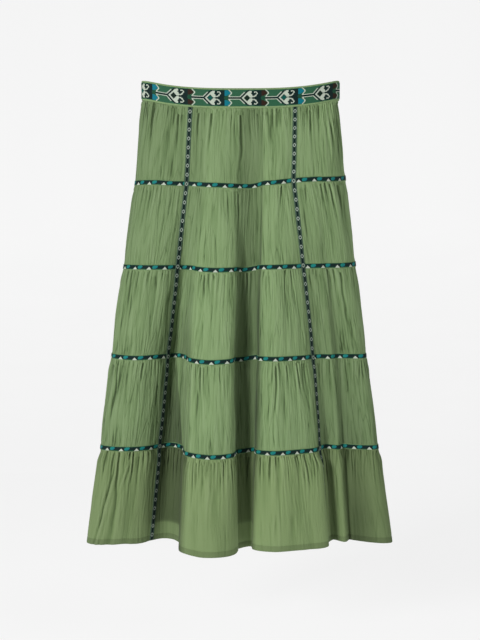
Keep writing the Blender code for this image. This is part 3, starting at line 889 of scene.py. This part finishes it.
def make_band(cotton, ribbon):
    """The waistband as one rounded loop of cloth, and the patterned ribbon on it."""
    places, _ = even_places(BAND_BOTTOM, BAND_STEP)
    points, outward, _ = ring(BAND_BOTTOM, places)
    u, around = round_about(points)
    half, face, corner = BAND_HEIGHT / 2, BAND_WALL / 2, 1.0
    # The strip is folded double at its top, and tier 1 is sewn in between its two lower edges
    profile = [(0.6, -half + 0.1), (1.0, -half + 0.2)]
    profile += [(face, z) for z in np.linspace(-half + corner, half - corner, 16)]
    profile += [(0.9, half - 0.35), (0.4, half), (-0.4, half), (-0.9, half - 0.35)]
    profile += [(-face, z) for z in np.linspace(half - corner, -half + corner, 16)]
    profile += [(-1.0, -half + 0.2), (-0.6, -half + 0.1)]
    random = np.random.default_rng(BAND_SEED)
    steps = np.linalg.norm(np.diff(profile, axis=0), axis=1)
    along_strip = np.concatenate(([0.0], np.cumsum(steps)))
    full_u, full_v = np.meshgrid(u, along_strip)
    ripple = 0.12 * noise(full_u, full_v, 9.0, 30.0, around, random)
    lines = []
    # From the inside's lower edge over the top to the outside's, so that the faces point out
    for (off, z), wave in zip(profile[::-1], ripple[::-1]):
        line = points + outward * (off + wave)[:, None]
        line[:, 2] = points[:, 2] + half + z
        lines.append(line)
    band = add_mesh(
        "cotton_waistband",
        np.array(lines),
        True,
        cotton,
        (np.append(u, around), along_strip),
        relief=ripple[::-1],
        creased=np.zeros(ripple.shape),
        crinkled=np.full(ripple.shape, 0.5),
    )
    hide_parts("waistband_front", "waistband_back")

    full_chart = (*WAIST_CHART, *WAIST_CHART[-2::-1])
    rows = len(full_chart)
    places, count = even_places(BAND_BOTTOM, WAIST_REPEAT / len(WAIST_CHART[0]))
    points, outward, _ = ring(BAND_BOTTOM, places)
    u, around = round_about(points)
    z = np.linspace(BAND_RIBBON_HEIGHT / 2, -BAND_RIBBON_HEIGHT / 2, rows + 1)
    lines = []
    for height, off in zip(z, across_ribbon(rows)):
        line = points + outward * (face + 0.15 + 0.75 * off)
        line[:, 2] = points[:, 2] + half + height
        lines.append(line)
    second = {"h": SECOND_HEAD, "d": SECOND_DIAMOND}
    random = np.random.default_rng(WAIST_RIBBON_SEED)
    colours = chart_colours(full_chart, rows, count, WAIST_START, second, random)
    uvs = np.append(u, around), z[0] - z
    trim = add_mesh("woven_waist_ribbon", np.array(lines), True, ribbon, uvs, colours)
    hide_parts("waist_ribbon_front", "waist_ribbon_back")
    return band, trim, around


def make_seam_ribbon(number, ribbon):
    """The narrow ribbon over one seam between two tiers."""
    height = SEAMS[number - 1]
    rows = len(NARROW_CHART)
    places, count = even_places(height, NARROW_REPEAT / len(NARROW_CHART[0]))
    z = np.linspace(SEAM_RIBBON_HEIGHT / 2, -SEAM_RIBBON_HEIGHT / 2, rows + 1)
    lines = []
    for up, off in zip(z, across_ribbon(rows)):
        points, outward, _ = ring(height + up, places)
        lines.append(points + outward * off)
        if up == z[rows // 2]:
            u, around = round_about(points)
    random = np.random.default_rng(SEAM_RIBBON_SEED + number)
    colours = chart_colours(NARROW_CHART, rows, count, NARROW_START * number, None, random)
    uvs = np.append(u, around), z[0] - z
    trim = add_mesh(f"woven_seam_ribbon_{number}", np.array(lines), True, ribbon, uvs, colours)
    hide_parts(f"seam_ribbon_{number}_front", f"seam_ribbon_{number}_back")
    return trim, around


def upright_offset(fold, height):
    """How far an upright ribbon stands off the cloth's middle at a height."""
    tier = sum(height < seam for seam in SEAMS)
    below = TIER_EDGES[tier] - height
    off = swell_at(tier, below) * swell_share(tier, np.array([fold]), np.array([below]))[0, 0]
    nearest = min(abs(height - seam) for seam in SEAMS)
    return off + 0.75 * (1 - rise(nearest - SEAM_RIBBON_HEIGHT / 2, 3.0))


def make_upright(name, node, fold, ribbon, seed):
    """A ribbon down the front from the waistband to the hem."""
    wide = len(UPRIGHT_CHART[0])
    step = UPRIGHT_REPEAT / len(UPRIGHT_CHART)
    heights = np.arange(BAND_BOTTOM - 0.5, HEM + 0.4, -step)
    across = np.linspace(-UPRIGHT_WIDTH / 2, UPRIGHT_WIDTH / 2, wide + 1)
    off = across_ribbon(wide)
    lines = []
    for height in heights:
        before, after = (span(fold + k, height)[1][-1] for k in (-1, 0))
        places = [
            (fold - 1, 1 + across[across < 0] / before),
            (fold, across[across >= 0] / after),
        ]
        points = on_spans(height, places)
        edge = np.pad(points, ((1, 1), (0, 0)), mode="reflect", reflect_type="odd")
        outward = outward_of(edge[:-2], edge[2:])
        lines.append(points + outward * (upright_offset(fold, height) + off)[:, None])
    rows = len(heights) - 1
    colours = chart_colours(UPRIGHT_CHART, rows, wide, 0, None, np.random.default_rng(seed))
    # Painted shade: the ribbon's thread colours darken where it lies in its fold's shade
    shade = shade_of([(fold, np.zeros(1))], heights[:-1])
    colours *= np.repeat(1 - SHADE_DARKENS * shade, wide, axis=0)
    uvs = across - across[0], heights[0] - heights
    trim = add_mesh(name, np.array(lines), False, ribbon, uvs, colours)
    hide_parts(node)
    return trim


class Nodes:
    """A material and its nodes, which are linked to whatever is given as an input."""

    def __init__(self, name):
        self.material = bpy.data.materials.new(name)
        self.material.use_nodes = True
        self.tree = self.material.node_tree
        self.shader = self.tree.nodes["Principled BSDF"]
        self.output = self.tree.nodes["Material Output"]

    def give(self, node, **inputs):
        for key, value in inputs.items():
            name = int(key[1:]) if key[1:].isdigit() else key.replace("_", " ")
            socket = node.inputs[name]
            if isinstance(value, bpy.types.NodeSocket):
                self.tree.links.new(value, socket)
            else:
                socket.default_value = value

    def add(self, kind, settings=None, **inputs):
        node = self.tree.nodes.new("ShaderNode" + kind)
        for key, value in (settings or {}).items():
            setattr(node, key, value)
        self.give(node, **inputs)
        return node

    def cloth_at(self, across, down):
        """The cloth's own map, scaled across and down it."""
        place = self.add("UVMap", {"uv_map": "cloth"})
        return self.add("Mapping", None, Vector=place.outputs[0], Scale=(across, down, 1.0)).outputs[0]

    def noise(self, across, down, detail=2.0, roughness=0.5, distortion=0.0):
        node = self.add(
            "TexNoise",
            None,
            Vector=self.cloth_at(across, down),
            Scale=1.0,
            Detail=detail,
            Roughness=roughness,
            Distortion=distortion,
        )
        return node.outputs["Fac"]

    def math(self, operation, a, b=0.0):
        return self.add("Math", {"operation": operation}, i0=a, i1=b).outputs[0]

    def scaled(self, colour, factor):
        scale = {"operation": "SCALE"}
        return self.add("VectorMath", scale, i0=colour, Scale=factor).outputs[0]

    def ramp(self, factor, *stops):
        node = self.add("ValToRGB", None, Fac=factor)
        points = node.color_ramp.elements
        while len(points) < len(stops):
            points.new(0.5)
        for point, (position, colour) in zip(points, stops):
            point.position = position
            point.color = (*colour, 1.0) if len(colour) == 3 else colour
        return node.outputs["Color"]

    def weave(self, pitch):
        """Threads that cross each other at a pitch in metres, as heights from 0 to 1."""
        turns = 2 * math.pi / pitch
        place = self.add("SeparateXYZ", None, Vector=self.cloth_at(turns, turns))
        warp = self.math("SINE", place.outputs[0])
        weft = self.math("SINE", place.outputs[1])
        return self.math("MULTIPLY_ADD", self.math("MULTIPLY", warp, weft), 0.5)


def grey(value):
    return (value, value, value)


def cotton_material(name, is_hem=False):
    """Crinkled cotton: streaks and crease lines down the cloth, painted shade in its creases, hollows and
    folds, painted light on its ridges, an open weave.
    """
    n = Nodes(name)
    relief, creased, crinkled, shade = (
        n.add("Attribute", {"attribute_name": field}).outputs["Fac"]
        for field in ("relief", "creased", "crinkled", "shade")
    )
    # Long thin crease lines, where a soft noise crosses its middle: sunk into the bump, and darkened in
    # the colour as painted shade
    crossing = n.math("ABSOLUTE", n.math("SUBTRACT", n.noise(95.0, 6.5, 1.0, 0.5, 0.5), 0.5))
    lines = n.math("POWER", n.math("SUBTRACT", 1.0, n.math("MULTIPLY", crossing, 2.0)), 22.0)
    lines = n.math("MULTIPLY", lines, crinkled)
    streaks = n.noise(240.0, 14.0, 3.0, 0.6, 0.3)
    streaks = n.math("MULTIPLY", n.math("SUBTRACT", streaks, 0.5), crinkled)
    clouds = n.math("SUBTRACT", n.noise(22.0, 9.0, 2.0), 0.5)
    # Painted shade and light: the colour darkens where the relief is low and in narrow creases, and
    # lightens on ridges. Relief is in millimetres, mostly from -2 to 1
    mixed = n.math("ADD", n.math("MULTIPLY", relief, 0.08), 0.54)
    mixed = n.math("ADD", mixed, n.math("MULTIPLY", creased, 0.34))
    for part, share in ((streaks, 1.30), (clouds, 0.30), (lines, -0.26)):
        mixed = n.math("ADD", mixed, n.math("MULTIPLY", part, share))
    stops = (0.0, COTTON_CREASE_SHADE), (0.2, COTTON_HOLLOW_SHADE), (0.52, COTTON_MID), (0.95, COTTON_RIDGE_LIGHT)
    colour = n.ramp(mixed, *stops)
    # Painted shade of the folds darkens the cloth's colour
    shaded = n.math("SUBTRACT", 1.0, n.math("MULTIPLY", shade, SHADE_DARKENS))
    colour = n.scaled(colour, shaded)
    weave = n.weave(COTTON_PITCH)
    slubs = n.noise(900.0, 2200.0, 1.0)
    bumped = n.math("ADD", n.math("MULTIPLY", weave, 0.5), slubs)
    fine = n.add("Bump", None, Strength=0.35, Distance=0.00025, Height=bumped)
    crinkle = n.math("MULTIPLY", n.noise(400.0, 26.0, 3.0, 0.65), crinkled)
    crinkle = n.math("SUBTRACT", crinkle, n.math("MULTIPLY", lines, 0.5))
    bump = n.add("Bump", None, Strength=0.9, Distance=0.0018, Height=crinkle, Normal=fine.outputs[0])
    if is_hem:
        colour = n.add("VectorMath", {"operation": "MULTIPLY"}, i0=colour, i1=HEM_TINT).outputs[0]
        # Painted shade: the turned hem is double cloth and lets less light through, so its band is
        # darkened by up to a fifth
        down = n.add("SeparateXYZ", None, Vector=n.cloth_at(1.0, 1.0)).outputs[1]
        edge = TIER_EDGES[-2] - TIER_EDGES[-1] - HEM_BAND
        shaded_hem_band = n.add("MapRange", None, Value=down, i1=edge * MM, i2=(edge + 0.8) * MM).outputs[0]
        darker = n.math("SUBTRACT", 1.0, n.math("MULTIPLY", shaded_hem_band, 0.20))
        colour = n.scaled(colour, darker)
    n.give(
        n.shader,
        Base_Color=colour,
        Roughness=0.88,
        Specular_IOR_Level=0.14,
        Sheen_Weight=0.05,
        Sheen_Roughness=0.5,
        Normal=bump.outputs[0],
    )
    through = n.add("BsdfTranslucent", None, Color=colour, Normal=bump.outputs[0])
    both = n.add("MixShader", None, Fac=0.16)
    n.tree.links.new(n.shader.outputs[0], both.inputs[1])
    n.tree.links.new(through.outputs[0], both.inputs[2])
    n.tree.links.new(both.outputs[0], n.output.inputs["Surface"])
    return n.material


def ribbon_material(name, pitch):
    """A woven ribbon: its threads' own colours, raised light threads and a slight lustre."""
    n = Nodes(name)
    thread = n.add("VertexColor", {"layer_name": "thread"}).outputs["Color"]
    weave = n.weave(pitch)
    shade = n.math("MULTIPLY_ADD", weave, 0.16)
    n.give(shade.node, i2=0.92)
    colour = n.scaled(thread, shade)
    light = n.add("RGBToBW", None, Color=thread).outputs[0]
    height = n.math("ADD", n.math("MULTIPLY", weave, 0.5), light)
    bump = n.add("Bump", None, Strength=0.5, Distance=0.0003, Height=height)
    n.give(
        n.shader,
        Base_Color=colour,
        Roughness=0.7,
        Specular_IOR_Level=0.1,
        Sheen_Weight=0.02,
        Normal=bump.outputs[0],
    )
    return n.material


def make_studio():
    """A pale floor that rises into a wall behind, soft light, and the camera."""
    n = Nodes("pale_paper")
    tint = n.ramp(n.noise(3.0, 3.0), (0.3, grey(0.15)), (0.7, grey(0.16)))
    n.give(n.shader, Base_Color=tint, Roughness=0.9, Specular_IOR_Level=0.0)
    n.give(n.shader, Emission_Color=(1.0, 1.0, 1.0, 1.0), Emission_Strength=0.80)
    bend, back, high, front, wide = 900.0, 2600.0, 4200.0, -3200.0, 4500.0
    line = [(front, FLOOR_HEIGHT), (back - bend, FLOOR_HEIGHT)]
    for angle in np.linspace(0, math.pi / 2, 16)[1:]:
        up = FLOOR_HEIGHT + bend * (1 - math.cos(angle))
        line.append((back - bend + bend * math.sin(angle), up))
    line.append((back, high))
    y, z = np.array(line).T
    x = np.linspace(-wide, wide, 9)
    sheet = np.stack([np.column_stack((x, 0 * x + b, 0 * x + c)) for b, c in zip(y, z)])
    paper = add_mesh("paper_floor", sheet, False, n.material, (x, np.arange(len(y)) * 300.0))
    paper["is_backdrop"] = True

    world = bpy.data.worlds.new("studio")
    world.use_nodes = True
    world.node_tree.nodes["Background"].inputs["Color"].default_value = (1.0, 1.0, 1.0, 1.0)
    world.node_tree.nodes["Background"].inputs["Strength"].default_value = 0.06
    bpy.context.scene.world = world
    aim = np.array((0.0, 0.0, -0.45))
    for name, place, size, power in (
        ("soft_left", (-1.9, -2.4, 0.35), 0.7, 105.5),
        ("soft_right", (2.7, -1.2, 0.35), 0.8, 34.0),
    ):
        lamp = bpy.data.lights.new(name, "AREA")
        lamp.size = size
        lamp.energy = power
        obj = bpy.data.objects.new(name, lamp)
        obj.location = place
        aim_from = aim - np.array(place)
        flat = math.hypot(aim_from[0], aim_from[1])
        turn = math.atan2(aim_from[1], aim_from[0]) - math.pi / 2
        obj.rotation_euler = (math.atan2(flat, -aim_from[2]), 0.0, turn)
        bpy.context.scene.collection.objects.link(obj)

    lens = bpy.data.cameras.new("camera")
    lens.lens = CAMERA_LENS
    camera = bpy.data.objects.new("camera", lens)
    camera.location = (CAMERA_SIDE * MM, -CAMERA_DISTANCE * MM, CAMERA_HEIGHT * MM)
    camera.rotation_euler = (math.radians(90 - CAMERA_PITCH), 0.0, 0.0)
    bpy.context.scene.collection.objects.link(camera)
    bpy.context.scene.camera = camera
    bpy.context.scene.view_settings.view_transform = "Standard"


def main():
    make_studio()
    cotton = cotton_material("sage_cotton_crinkled")
    hem_cotton = cotton_material("sage_cotton_hem", is_hem=True)
    band_ribbon = ribbon_material("waist_ribbon_woven", WAIST_PITCH)
    narrow = ribbon_material("narrow_ribbon_woven", NARROW_PITCH)
    made = []
    for tier in range(len(TIER_EDGES) - 1):
        piece, around = make_tier(tier, hem_cotton if tier == len(SEAMS) else cotton)
        made.append(piece)
    band, trim, around = make_band(cotton, band_ribbon)
    made += [band, trim]
    for number in range(1, len(SEAMS) + 1):
        trim, around = make_seam_ribbon(number, narrow)
        made.append(trim)
    for side, fold, seed in zip(("left", "right"), UPRIGHTS, UPRIGHT_SEEDS):
        made.append(make_upright(f"woven_upright_{side}", f"upright_ribbon_{side}", fold, narrow, seed))
    for piece in made:
        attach(piece, "root")


main()
seen_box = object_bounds()
boxes = {"cad": cad_box, "visual": seen_box}
{name: [list(corner) for corner in box] for name, box in boxes.items()}
